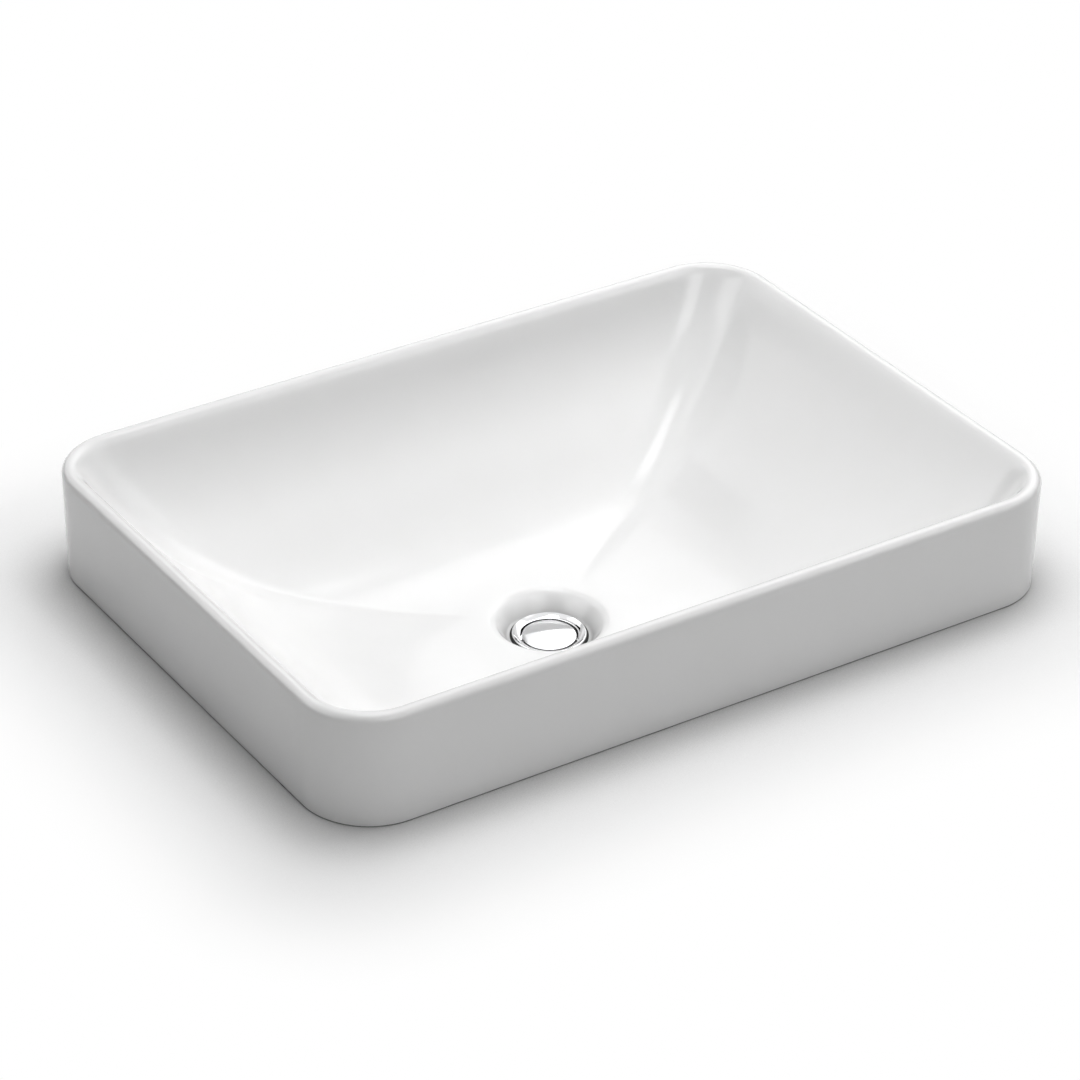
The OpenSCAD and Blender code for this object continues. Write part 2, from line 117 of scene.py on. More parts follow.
# The drain body
FLANGE_R = BODY_HIGH.x
FLANGE_Z = SEAT_Z + 1
FLANGE_EDGE = 0.3
CREST_Z = BODY_HIGH.z
CREST_R = 0.9
DISH_DEPTH = 2.2
WELL_R = CAP_HIGH.x + 1.7
WELL_EDGE_R = 0.4
LEDGE_Z = CREST_Z - 7.6
THROAT_Z = LEDGE_Z - 1.5
SHOULDER_R = 22
SHOULDER_Z = THROAT_Z - 1
TUBE_R = 20.5
TUBE_ROOT_R = TUBE_R - 0.9
TUBE_PITCH = 2.2
BORE_R = 16.2
SOCKET_R = 17.575
SOCKET_Z = BODY_LOW.z + 13.5
HUB_Z = THROAT_Z - 10.9
HUB_R = 10.5
HUB_BORE_R = 7.05
SPIDER_H = 8
ARM_W = 3
ARM_N = 4

# The tailpiece
TAIL_R = 15.875
TAIL_BORE_R = 14.675
TAIL_ROOT_R = SOCKET_R - 0.75
TAIL_PITCH = 1.4

# The stopper
CAP_R = CAP_HIGH.x
CAP_T = 2.6
CAP_DOME = 1
CAP_EDGE_R = 0.7
CAP_EDGE_Z = CAP_HIGH.z - CAP_DOME
CAP_BOSS_R = 6.5
POST_R = 3
POST_ROOT_R = POST_R - 0.45
POST_PITCH = 1

# The latch. Its spring keeps its rest length in the poses, so it ends a full press short of the rotor
SLEEVE_R = 7
SLEEVE_ROOT_R = 6.5
SLEEVE_BORE_R = 5.4
SLEEVE_NECK_R = 4
SLEEVE_PITCH = 1.25
COLLAR_H = 3.8
SPRING_R = 3.8
SPRING_WIRE = 0.8
SPRING_TURNS = 8
SPRING_PLAY = 1.1

# Clearance between a thread and what sits on it or round it
PLAY = 0.05

# Section of a thread's ridge: how deep its foot lies in the shaft, and its tip where it has faded out,
# and half of the foot and of the tip as shares of the pitch
RIDGE_SUNK = 0.3
RIDGE_FADED = 0.05
RIDGE_FOOT = 0.46
RIDGE_TIP = 0.08

# Cone that cuts a nut's corners: how far inside the flats it starts, and its height for a unit of width
CONE_START = 0.5
CONE_SLOPE = 0.5

# Edges that turn more than this stay sharp on nuts
NUT_SHARP = 30


# Shapes

def piece_from(name, points, faces, sharp_angle=40):
    """A new object from points in millimetres and faces, shaded smooth but for its sharp edges."""
    mesh = bpy.data.meshes.new(name)
    mesh.from_pydata([tuple(MM * np.asarray(p, float)) for p in points], [], faces)
    shape = bmesh.new()
    shape.from_mesh(mesh)
    bmesh.ops.remove_doubles(shape, verts=shape.verts, dist=1e-7)
    bmesh.ops.recalc_face_normals(shape, faces=shape.faces)
    shape.to_mesh(mesh)
    shape.free()
    mesh.polygons.foreach_set("use_smooth", [True] * len(mesh.polygons))
    mesh.set_sharp_from_angle(angle=math.radians(sharp_angle))
    piece = bpy.data.objects.new(name, mesh)
    bpy.context.scene.collection.objects.link(piece)
    return piece


def loft_faces(rings, columns, closed):
    """Faces between rings that all have the same number of columns."""
    faces = []
    for i in range(rings if closed else rings - 1):
        for j in range(columns):
            a = i * columns + j
            b = i * columns + (j + 1) % columns
            up = ((i + 1) % rings - i) * columns
            faces.append((a, b, b + up, a + up))
    return faces


def joined(*shapes):
    """Several (points, faces) shapes as one."""
    points, faces = [], []
    for more_points, more_faces in shapes:
        faces += [tuple(len(points) + k for k in face) for face in more_faces]
        points += [tuple(p) for p in more_points]
    return points, faces


def softened(outline, edge=0.2, steps=3, least_turn=20):
    """A closed outline with its corners rounded by a small curve."""
    soft = []
    count = len(outline)
    for k, corner in enumerate(outline):
        corner = np.array(corner, float)
        before = np.array(outline[k - 1], float) - corner
        after = np.array(outline[(k + 1) % count], float) - corner
        back = np.linalg.norm(before)
        ahead = np.linalg.norm(after)
        turn = 180 - math.degrees(math.acos(np.clip(before @ after / (back * ahead), -1, 1)))
        if turn < least_turn or corner[0] == 0:
            soft.append(tuple(corner))
            continue
        start = corner + before / back * min(edge, 0.45 * back)
        end = corner + after / ahead * min(edge, 0.45 * ahead)
        for t in np.linspace(0, 1, steps + 1):
            soft.append(tuple((1 - t) ** 2 * start + 2 * t * (1 - t) * corner + t ** 2 * end))
    return soft


def turned(outline, columns=128):
    """A turned shape from its closed outline of (radius, height) points."""
    turns = np.linspace(0, 2 * math.pi, columns, endpoint=False)
    points = [
        (radius * math.cos(turn), radius * math.sin(turn), height)
        for radius, height in outline
        for turn in turns
    ]
    return points, loft_faces(len(outline), columns, closed=True)


def arc(centre_r, centre_z, radius, start, end, count):
    """Points on an arc of an outline, between two angles counted from outward to upward."""
    return [
        (centre_r + radius * math.cos(turn), centre_z + radius * math.sin(turn))
        for turn in np.radians(np.linspace(start, end, count))
    ]


def washer_outline(inner, outer, low, high):
    """The square section of a washer or tube."""
    return [(inner, low), (outer, low), (outer, high), (inner, high)]


def thread(root_r, crest_r, pitch, low, high, steps=48):
    """A helical ridge that stands on a shaft and fades out at both ends."""
    turns = (high - low - pitch) / pitch
    count = int(steps * turns)
    foot = root_r - RIDGE_SUNK
    points = []
    for i in range(count + 1):
        turn = 2 * math.pi * i / steps
        fade = min(1, 3 * i / steps, 3 * (count - i) / steps)
        tip = root_r - RIDGE_FADED + (crest_r - root_r + RIDGE_FADED) * fade
        middle = low + pitch / 2 + pitch * i / steps
        for radius, half in ((foot, RIDGE_FOOT), (tip, RIDGE_TIP), (tip, -RIDGE_TIP), (foot, -RIDGE_FOOT)):
            points.append((radius * math.cos(turn), radius * math.sin(turn), middle + half * pitch))
    faces = loft_faces(count + 1, 4, closed=False)
    ends = [(3, 2, 1, 0), tuple(4 * count + k for k in range(4))]
    return points, faces + ends


def hexagon_radius(turn, flats):
    """Distance from the axis to a hexagon's side in one direction."""
    off = (turn + math.pi / 6) % (math.pi / 3) - math.pi / 6
    return flats / 2 / math.cos(off)


def hexagon_nut(flats, bore, low, high, chamfers, columns=192):
    """A hexagonal nut. Each end that has a chamfer is cut by a cone, as on a lathe."""
    corner = flats / math.sqrt(3)
    low_cut, high_cut = chamfers
    levels = np.unique(np.round(np.concatenate([
        low + (high - low) * np.linspace(0, 1, 5),
        low + np.linspace(0, 0.4, 9) * (corner - flats / 2),
        high - np.linspace(0, 0.4, 9) * (corner - flats / 2),
    ]), 4))
    turns = np.linspace(0, 2 * math.pi, columns, endpoint=False)
    lead = min(0.6, (high - low) / 6)
    rows = [(bore + lead, low), (bore, low + lead), (bore, high - lead), (bore + lead, high)]
    points = [(r * math.cos(t), r * math.sin(t), z) for r, z in rows for t in turns]
    for z in levels[::-1]:
        limit = corner
        if low_cut:
            limit = min(limit, flats / 2 - CONE_START + (z - low) / CONE_SLOPE)
        if high_cut:
            limit = min(limit, flats / 2 - CONE_START + (high - z) / CONE_SLOPE)
        for t in turns:
            r = min(hexagon_radius(t, flats), limit)
            points.append((r * math.cos(t), r * math.sin(t), z))
    return points, loft_faces(len(rows) + len(levels), columns, closed=True)


def coil(radius, wire, low, high, turns, sides=14, steps=40):
    """A compression spring whose end turns lie closed."""
    count = turns * steps
    open_rise = (high - low - 3 * wire) / (count - 2 * steps)
    heights = [low + wire / 2]
    for i in range(count):
        closed = i < steps or i >= count - steps
        heights.append(heights[-1] + (wire / steps if closed else open_rise))
    points = []
    for i, height in enumerate(heights):
        turn = 2 * math.pi * i / steps
        for k in range(sides):
            round_wire = 2 * math.pi * k / sides
            out = radius + wire / 2 * math.cos(round_wire)
            up = height + wire / 2 * math.sin(round_wire)
            points.append((out * math.cos(turn), out * math.sin(turn), up))
    ends = [tuple(range(sides)), tuple(count * sides + k for k in reversed(range(sides)))]
    return points, loft_faces(count + 1, sides, closed=False) + ends


# The basin

def ring(half_x, half_y, radius, z):
    """A rounded rectangle at one height, counted from the X axis round all four corners."""
    short = np.linspace(0, 1, SHORT_N, endpoint=False)
    turn = np.radians(np.linspace(0, 90, ARC_N, endpoint=False))
    long = np.linspace(1, 0, LONG_N + 1)
    x = np.concatenate([
        np.full(SHORT_N, half_x), half_x - radius + radius * np.cos(turn), (half_x - radius) * long,
    ])
    y = np.concatenate([
        (half_y - radius) * short, half_y - radius + radius * np.sin(turn), np.full(LONG_N + 1, half_y),
    ])
    return np.column_stack([
        np.concatenate([x[:-1], -x[:0:-1], -x[:-1], x[:0:-1]]),
        np.concatenate([y[:-1], y[:0:-1], -y[:-1], -y[:0:-1]]),
        np.full(RING_N, float(z)),
    ])


def bowl_x(s):
    """Half the bowl's length at s, which is 0 in the middle and 1 at the rim."""
    return BOWL_W * s


def bowl_y(s):
    """Half the bowl's depth from front to back at s."""
    return BOWL_D * (1 - (1 - s ** END_POWER) ** SIDE_UPRIGHT) ** (1 / SIDE_POWER)


def bowl_z(s):
    """The bowl's level at s."""
    return FLOOR_Z + BOWL_RISE * s ** END_POWER


def bowl_crease(s):
    """The corner radius at s, which makes the creases."""
    return BOWL_CORNER * s ** CREASE_POWER


def bowl_ring(s):
    """The bowl where it is s of its full length."""
    return ring(bowl_x(s), bowl_y(s), bowl_crease(s), bowl_z(s))


MID_RING = bowl_ring(MID_S)
MID_TURNS = np.arctan2(MID_RING[:, 1], MID_RING[:, 0])


def round_ring(radius, z):
    """A circle whose points face those of the bowl's ring at MID_S."""
    level = np.full(RING_N, float(z))
    return np.column_stack([radius * np.cos(MID_TURNS), radius * np.sin(MID_TURNS), level])


def middle_ring(radius, t, drop):
    """A ring between a circle, at t = 0, and the bowl's ring at MID_S, at t = 1."""
    circle = round_ring(radius, 0)
    x = (1 - t) * circle[:, 0] + t * MID_RING[:, 0]
    y = (1 - t) * circle[:, 1] + t * MID_RING[:, 1]
    end = (np.abs(x) / BOWL_W) ** END_POWER
    side = 1 - (1 - (np.abs(y) / BOWL_D) ** SIDE_POWER) ** (1 / SIDE_UPRIGHT)
    return np.column_stack([x, y, FLOOR_Z - drop + BOWL_RISE * np.maximum(end, side)])


def lean_ring(z, inset):
    """The outer wall at one height, moved in by an inset."""
    share = 1 - z / WALL_Z
    return ring(
        HALF_W - END_LEAN * share - inset, HALF_D - SIDE_LEAN * share - inset,
        CORNER_R - END_LEAN * share - inset, z,
    )


def rim_ring(inset, z):
    """The rim's outline at one height, moved in by an inset."""
    return ring(HALF_W - inset, HALF_D - inset, CORNER_R - inset, z)


def under_ring(s):
    """The bowl's ring at s, one shell thickness further out."""
    step = 0.004
    climb = bowl_z(s + step) - bowl_z(s - step)
    slope_x = math.atan2(climb, bowl_x(s + step) - bowl_x(s - step))
    slope_y = math.atan2(climb, bowl_y(s + step) - bowl_y(s - step))
    return ring(
        bowl_x(s) + SHELL_T * math.tan(slope_x / 2), bowl_y(s) + SHELL_T * math.tan(slope_y / 2),
        bowl_crease(s) + SHELL_T / 2 * s ** END_POWER, bowl_z(s) - SHELL_T,
    )


def sump_rings():
    """The seat of the flange, the fillet at its edge, the sump's wall and its rounded upper edge."""
    steep = math.radians(SUMP_ANGLE)
    bends = (SUMP_EDGE_R + SUMP_FILLET_R) * (1 - math.cos(steep))
    run = (SUMP_DEPTH - bends) / math.tan(steep)
    foot_r = SUMP_R - (SUMP_EDGE_R + SUMP_FILLET_R) * math.sin(steep) - run
    rings = [round_ring(OUTLET_R, SEAT_Z - OUTLET_EDGE), round_ring(OUTLET_R + OUTLET_EDGE, SEAT_Z)]
    rings += [
        round_ring(foot_r + SUMP_FILLET_R * math.sin(a), SEAT_Z + SUMP_FILLET_R * (1 - math.cos(a)))
        for a in np.linspace(0, steep, 7)
    ]
    rings += [
        round_ring(SUMP_R - SUMP_EDGE_R * math.sin(a), FLOOR_Z - SUMP_EDGE_R * (1 - math.cos(a)))
        for a in np.linspace(steep, 0.02, 10)
    ]
    return rings


def eased(rings, first, last, times):
    """Rounds the bends that a stack of rings has between two of its rings."""
    for _ in range(times):
        beside = rings[first - 1:last - 1] + rings[first + 1:last + 1]
        rings[first:last] = rings[first:last] / 2 + beside / 4
    return rings


def eased_round(rings, first, last, times):
    """Rounds the valleys that cross a stack of rings, by their heights alone."""
    for _ in range(times):
        heights = rings[first:last, :, 2]
        beside = np.roll(heights, 1, axis=1) + np.roll(heights, -1, axis=1)
        rings[first:last, :, 2] = heights / 2 + beside / 4
    return rings


def glazed_rings():
    """All rings that are glazed and seen: sump, bowl, rim and outer wall, down to the foot's edge."""
    rings = sump_rings()
    sump_top = len(rings)
    rings += [middle_ring(SUMP_R, t, 0) for t in np.linspace(0, 1, MIDDLE_N)[:-1]]
    bowl_start = len(rings)
    rings += [bowl_ring(1 - (1 - MID_S) * (1 - t) ** CROWDING) for t in np.linspace(0, 1, BOWL_N)[:-1]]
    bowl_end = len(rings)
    rings += [
        rim_ring(RIM_OUTER_R + RIM_ROLL_R * math.sin(a), RIM_H - RIM_ROLL_R * (1 - math.cos(a)))
        for a in np.radians(np.linspace(ROLL_ANGLE, 0, 13))
    ]
    rings += [
        rim_ring(RIM_OUTER_R * (1 - math.sin(a)), WALL_Z + RIM_OUTER_R * math.cos(a))
        for a in np.radians(np.linspace(0, 90, 11)[1:])
    ]
    rings += [lean_ring(WALL_Z * t, 0) for t in (0.95, 0.7, 0.4, 0.12)]
    rings += [
        lean_ring(FOOT_EDGE_R * (1 - math.sin(a)), FOOT_EDGE_R * (1 - math.cos(a)))
        for a in np.radians(np.linspace(0, 90, 7))
    ]
    rings = np.array(rings)
    # The bend over the sump's edge is eased first, and then the one where the bowl meets the rim
    rings = eased_round(rings, sump_top - 3, bowl_start + 6, 6)
    rings = eased(rings, sump_top - 2, bowl_start + 4, 4)
    return eased(rings, bowl_end - 9, bowl_end + 6, 30)


def raw_rings():
    """The unglazed foot, the groove behind the skirt, the bowl's underside and the boss."""
    web_s = ((WEB_H + SHELL_T - FLOOR_Z) / BOWL_RISE) ** (1 / END_POWER)
    under_top = under_ring(web_s)
    under_x = under_top[0, 0]
    under_y = under_top[QUARTER_N, 1]
    lean = 1 - WEB_H / WALL_Z
    gap_x = HALF_W - END_LEAN * lean - SKIRT_T - under_x
    gap_y = HALF_D - SIDE_LEAN * lean - SKIRT_T - under_y
    web_corner = (CORNER_R - SKIRT_T + bowl_crease(web_s)) / 2
    rings = [lean_ring(z, SKIRT_T - edge) for z, edge in ((0, 1.5), (0.5, 0.5), (1.5, 0))]
    rings += [lean_ring(WEB_H * t, SKIRT_T) for t in (0.5, 1)]
    rings.append(ring(under_x + gap_x / 2, under_y + gap_y / 2, web_corner, WEB_H + min(gap_x, gap_y) / 2))
    rings += [under_ring(web_s - (web_s - MID_S) * t ** 0.8) for t in np.linspace(0, 1, 24)]
    rings += [middle_ring(BOSS_R + BOSS_FLARE, t, SHELL_T) for t in (0.8, 0.6, 0.4, 0.2, 0)]
    rings += [round_ring(BOSS_R + out, FLOOR_Z - SHELL_T - drop) for out, drop in ((5, 1.2), (2, 5))]
    rings += [round_ring(BOSS_R - inset, BOSS_Z + up) for inset, up in ((0, 2), (0.6, 0.6), (2, 0))]
    rings += [round_ring(OUTLET_R + 0.5, BOSS_Z), round_ring(OUTLET_R, BOSS_Z + 0.5)]
    return np.array(rings)


def basin_piece():
    """The basin, glazed down to the foot's edge and raw below."""
    glazed = glazed_rings()
    raw = raw_rings()
    rings = np.concatenate([glazed, raw])
    piece = piece_from("china_basin", rings.reshape(-1, 3), loft_faces(len(rings), RING_N, closed=True))
    last_glazed = len(glazed) - 1
    for face in piece.data.polygons:
        face.material_index = 0 if min(face.vertices) // RING_N < last_glazed else 1
    return piece


# The drain

def spider():
    """The hub that carries the cartridge, on four arms across the water way."""
    low = HUB_Z - SPIDER_H
    shapes = [turned(softened(washer_outline(HUB_BORE_R, HUB_R, low, HUB_Z), 0.5), columns=96)]
    half = ARM_W / 2
    outline = softened([(half, low), (half, HUB_Z), (-half, HUB_Z), (-half, low)], 0.6)
    for k in range(ARM_N):
        turn = math.radians(45 + 360 / ARM_N * k)
        along = np.array([math.cos(turn), math.sin(turn)])
        across = np.array([-along[1], along[0]])
        # Each arm starts inside the hub and ends inside the tube's wall
        points = [
            (*(along * reach + across * side), height)
            for reach in (HUB_R - 1, BORE_R + 0.8)
            for side, height in outline
        ]
        shapes.append((points, loft_faces(2, len(outline), closed=False)))
    return joined(*shapes)


def drain_body_piece():
    """The threaded tube, the flange with its rounded crest, the dish, the well and the spider."""
    dish_start = FLANGE_R - CREST_R
    thread_end = SHOULDER_Z - 1.5
    outline = softened([
        (TUBE_ROOT_R, BODY_LOW.z), (TUBE_ROOT_R, thread_end), (TUBE_R, thread_end), (TUBE_R, SHOULDER_Z),
        (SHOULDER_R, SHOULDER_Z), (SHOULDER_R, FLANGE_Z),
        (FLANGE_R - FLANGE_EDGE, FLANGE_Z), (FLANGE_R, FLANGE_Z + FLANGE_EDGE),
    ])
    outline += arc(dish_start, CREST_Z - CREST_R, CREST_R, 0, 90, 12)
    outline += [
        (dish_start - t * (dish_start - WELL_R), CREST_Z - DISH_DEPTH * math.sin(math.radians(90 * t)))
        for t in np.linspace(0, 1, 25)[1:-1]
    ]
    outline += arc(WELL_R + WELL_EDGE_R, CREST_Z - DISH_DEPTH - WELL_EDGE_R, WELL_EDGE_R, 90, 180, 7)
    outline += softened([
        (WELL_R, LEDGE_Z), (BORE_R, THROAT_Z), (BORE_R, SOCKET_Z),
        (SOCKET_R, SOCKET_Z), (SOCKET_R, BODY_LOW.z),
    ])
    ridge = thread(TUBE_ROOT_R, TUBE_R, TUBE_PITCH, BODY_LOW.z + 0.3, SHOULDER_Z - 1.2)
    return piece_from("drain_body_chromed", *joined(turned(outline, columns=192), ridge, spider()))


def stopper_cap_piece():
    """The cap: a boss below, a rounded edge and a low dome."""
    under = CAP_EDGE_Z - CAP_T
    turn_r = CAP_R - CAP_EDGE_R
    outline = [(0, CAP_LOW.z), (CAP_BOSS_R, CAP_LOW.z), (CAP_BOSS_R, under), (turn_r, under)]
    outline += arc(turn_r, under + CAP_EDGE_R, CAP_EDGE_R, -90, 0, 7)[1:]
    outline += arc(turn_r, CAP_EDGE_Z - CAP_EDGE_R, CAP_EDGE_R, 0, 90, 9)
    outline += [(CAP_R * t, CAP_EDGE_Z + CAP_DOME * (1 - t * t)) for t in np.linspace(0.96, 0, 24)]
    return piece_from("stopper_cap_chromed", *turned(outline, columns=192))


def washer_piece(node, name, edge=0.3):
    """A washer, gasket or ring that takes its sizes from its node, with softened edges."""
    mesh = frame["nodes"][node].data
    radii = [math.hypot(v.co.x, v.co.y) / MM for v in mesh.vertices]
    low, high = [corner.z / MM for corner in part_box(node)]
    return piece_from(name, *turned(softened(washer_outline(min(radii), max(radii), low, high), edge)))


def lower_gasket_piece():
    """The tapered rubber under the boss, with the collar that enters the outlet."""
    low, high = [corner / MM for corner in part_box("lower_gasket")]
    outline = softened([
        (TUBE_R + PLAY, low.z), (high.x - 1, low.z), (high.x, low.z + 1), (high.x - 1.5, BOSS_Z),
        (SHOULDER_R, BOSS_Z), (TUBE_R + 0.6, high.z), (TUBE_R + PLAY, high.z),
    ], 0.6)
    return piece_from("lower_gasket_rubber", *turned(outline, columns=144))


def locknut_piece():
    """The nut that clamps the drain, with its lower corners cut."""
    low, high = [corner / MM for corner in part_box("locknut")]
    nut = hexagon_nut(2 * high.y, TUBE_R + PLAY, low.z, high.z, (True, False))
    return piece_from("locknut_brass", *nut, NUT_SHARP)


def tailpiece_piece():
    """The plain tube, with the threaded end that goes into the drain body."""
    low, high = [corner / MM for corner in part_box("tailpiece")]
    thread_start = BODY_LOW.z + 1
    outline = softened([
        (TAIL_BORE_R, low.z), (TAIL_R, low.z), (TAIL_R, BODY_LOW.z), (TAIL_ROOT_R, thread_start),
        (TAIL_ROOT_R, high.z), (TAIL_BORE_R, high.z),
    ], 0.3)
    ridge = thread(TAIL_ROOT_R, SOCKET_R - PLAY, TAIL_PITCH, thread_start, high.z - 0.5)
    return piece_from("tailpiece_chromed", *joined(turned(outline, columns=144), ridge))


def stopper_post_piece():
    """The threaded rod under the cap."""
    low, high = [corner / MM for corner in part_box("stopper_post")]
    outline = softened(washer_outline(0, POST_ROOT_R, low.z, high.z), 0.3)
    ridge = thread(POST_ROOT_R, POST_R, POST_PITCH, low.z + 0.2, high.z - 0.2, steps=32)
    return piece_from("stopper_post_steel", *joined(turned(outline, columns=64), ridge))


def jam_nut_piece():
    """The small nut on the rod, with its corners cut at both ends."""
    low, high = [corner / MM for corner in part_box("jam_nut")]
    nut = hexagon_nut(2 * high.y, POST_R + PLAY, low.z, high.z, (True, True), columns=96)
    return piece_from("jam_nut_steel", *nut, NUT_SHARP)


def sleeve_piece():
    """The cartridge's sleeve, threaded where it hangs below the spider."""
    low, high = [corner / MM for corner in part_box("cartridge_sleeve")]
    collar_low = high.z - COLLAR_H
    chamber_top = collar_low - 0.2
    thread_end = HUB_Z - SPIDER_H
    outline = softened([
        (SLEEVE_BORE_R, low.z), (SLEEVE_ROOT_R, low.z), (SLEEVE_ROOT_R, thread_end), (SLEEVE_R, thread_end),
        (SLEEVE_R, collar_low), (SLEEVE_NECK_R, collar_low), (SLEEVE_NECK_R, chamber_top),
        (SLEEVE_BORE_R, chamber_top),
    ], 0.2)
    ridge = thread(SLEEVE_ROOT_R, SLEEVE_R, SLEEVE_PITCH, low.z + 0.3, thread_end)
    collar = hexagon_nut(2 * high.y, SLEEVE_NECK_R, collar_low, high.z, (False, True), columns=144)
    sleeve = joined(turned(outline, columns=96), ridge, collar)
    return piece_from("cartridge_sleeve_brass", *sleeve, NUT_SHARP)


def spring_piece():
    """The spring that raises the stopper."""
    low, high = [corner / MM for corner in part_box("cartridge_spring")]
    spring = coil(SPRING_R, SPRING_WIRE, low.z, high.z - SPRING_PLAY, SPRING_TURNS)
    return piece_from("cartridge_spring_steel", *spring)


# Finishes

def node_group(name, inputs, outputs):
    """An empty shader group with its sockets, given as (name, type, default)."""
    tree = bpy.data.node_groups.new(name, "ShaderNodeTree")
    for socket, kind, default in inputs:
        made = tree.interface.new_socket(name=socket, in_out="INPUT", socket_type=kind)
        made.default_value = default
    for socket, kind in outputs:
        tree.interface.new_socket(name=socket, in_out="OUTPUT", socket_type=kind)
    return tree, tree.nodes.new("NodeGroupInput"), tree.nodes.new("NodeGroupOutput")


def math_node(tree, operation, first, second=None):
    """A maths node fed by sockets or plain numbers."""
    node = tree.nodes.new("ShaderNodeMath")
    node.operation = operation
    for k, value in enumerate((first, second)):
        if value is None:
            continue
        if isinstance(value, (int, float)):
            node.inputs[k].default_value = value
        else:
            tree.links.new(value, node.inputs[k])
    return node.outputs[0]


def vector_node(tree, operation, first, second=None):
    """A vector maths node fed by a socket and, if it needs one, a plain vector."""
    node = tree.nodes.new("ShaderNodeVectorMath")
    node.operation = operation
    tree.links.new(first, node.inputs[0])
    if second:
        node.inputs[1].default_value = second
    return node


def mapped(tree, value, start, end, low=0.0, high=1.0, smooth=False):
    """Goes from low to high while a value goes from start to end."""
    node = tree.nodes.new("ShaderNodeMapRange")
    if smooth:
        node.interpolation_type = "SMOOTHSTEP"
    for socket, number in (("From Min", start), ("From Max", end), ("To Min", low), ("To Max", high)):
        node.inputs[socket].default_value = number
    tree.links.new(value, node.inputs["Value"])
    return node.outputs[0]


def axes_of(tree, source, output):
    """The X, Y and Z of a source node's vector, each on its own."""
    split = tree.nodes.new("ShaderNodeSeparateXYZ")
    tree.links.new(tree.nodes.new(source).outputs[output], split.inputs[0])
    return split.outputs


def grain_group():
    """Fine grain: a height for the bump and a tone that spreads round zero."""
    tree, given, result = node_group(
        "grain",
        [("Scale", "NodeSocketFloat", 500.0), ("Detail", "NodeSocketFloat", 3.0)],
        [("Height", "NodeSocketFloat"), ("Tone", "NodeSocketFloat")],
    )
    place = tree.nodes.new("ShaderNodeTexCoord")
    noise = tree.nodes.new("ShaderNodeTexNoise")
    tree.links.new(place.outputs["Object"], noise.inputs["Vector"])
    tree.links.new(given.outputs["Scale"], noise.inputs["Scale"])
    tree.links.new(given.outputs["Detail"], noise.inputs["Detail"])
    tree.links.new(noise.outputs[0], result.inputs["Height"])
    tree.links.new(math_node(tree, "SUBTRACT", noise.outputs[0], 0.5), result.inputs["Tone"])
    return tree


def turning_group():
    """Fine rings round the drain's axis, as a lathe leaves them, broken up by grain."""
    tree, given, result = node_group(
        "turning_marks",
        [("Lines per metre", "NodeSocketFloat", 4000.0)],
        [("Height", "NodeSocketFloat")],
    )
    axes = axes_of(tree, "ShaderNodeTexCoord", "Object")
    across = math_node(tree, "MULTIPLY", axes["X"], axes["X"])
    along = math_node(tree, "MULTIPLY", axes["Y"], axes["Y"])
    radius = math_node(tree, "SQRT", math_node(tree, "ADD", across, along))
    reach = math_node(tree, "ADD", radius, axes["Z"])
    noise = tree.nodes.new("ShaderNodeTexNoise")
    noise.noise_dimensions = "1D"
    noise.inputs["Scale"].default_value = 1.0
    noise.inputs["Detail"].default_value = 2.0
    tree.links.new(math_node(tree, "MULTIPLY", reach, given.outputs["Lines per metre"]), noise.inputs["W"])
    tree.links.new(noise.outputs[0], result.inputs["Height"])
    return tree


GRAIN = grain_group()
TURNING = turning_group()

# Tones of the grain, to both sides of zero, that reach the ends of what they vary
TONE_SPREAD = 0.25

# Heights between which shade is painted into the glaze down the sump, and the share of its colour that is
# left
SHADE_FROM = (FLOOR_Z - 1) * MM
SHADE_TO = SEAT_Z * MM
PAINTED_SUMP_SHADE = 0.62


def finish_material(name, colour, roughness, **settings):
    """A material with its shader's own sockets set."""
    material = bpy.data.materials.new(name)
    material.use_nodes = True
    shader = material.node_tree.nodes["Principled BSDF"]
    shader.inputs["Base Color"].default_value = (*colour, 1)
    shader.inputs["Roughness"].default_value = roughness
    for socket, value in settings.items():
        shader.inputs[socket.replace("_", " ")].default_value = value
    return material, shader


def add_group(material, tree, **values):
    """A shader group put into a material, with its inputs set."""
    node = material.node_tree.nodes.new("ShaderNodeGroup")
    node.node_tree = tree
    for socket, value in values.items():
        node.inputs[socket.replace("_", " ")].default_value = value
    return node


def add_bump(material, shader, height, strength, distance):
    """Lets a height stand out from the surface, by a distance in metres."""
    bump = material.node_tree.nodes.new("ShaderNodeBump")
    bump.inputs["Strength"].default_value = strength
    bump.inputs["Distance"].default_value = distance
    material.node_tree.links.new(height, bump.inputs["Height"])
    material.node_tree.links.new(bump.outputs["Normal"], shader.inputs["Normal"])


def vary(material, shader, socket, tone, least, most):
    """Feeds a socket from a tone round zero, mapped to a range."""
    tree = material.node_tree
    tree.links.new(mapped(tree, tone, -TONE_SPREAD, TONE_SPREAD, least, most), shader.inputs[socket])


def vary_colour(material, shader, tone, dark, light):
    """Feeds the base colour from a tone round zero, between two colours."""
    tree = material.node_tree
    mix = tree.nodes.new("ShaderNodeMix")
    mix.data_type = "RGBA"
    mix.inputs["A"].default_value = (*dark, 1)
    mix.inputs["B"].default_value = (*light, 1)
    tree.links.new(mapped(tree, tone, -TONE_SPREAD, TONE_SPREAD), mix.inputs["Factor"])
    tree.links.new(mix.outputs["Result"], shader.inputs["Base Color"])


def paint_sump_shade(material, shader):
    """Paints shade into the colour down the sump's wall, where the open bowl hardly lights it."""
    tree = material.node_tree
    height = axes_of(tree, "ShaderNodeTexCoord", "Object")["Z"]
    colour = shader.inputs["Base Color"].links[0].from_socket
    # Painted shade: the glaze's colour is scaled darker with depth down the sump
    painted_darker = vector_node(tree, "SCALE", colour)
    tree.links.new(mapped(tree, height, SHADE_FROM, SHADE_TO, 1, PAINTED_SUMP_SHADE), painted_darker.inputs["Scale"])
    tree.links.new(painted_darker.outputs[0], shader.inputs["Base Color"])


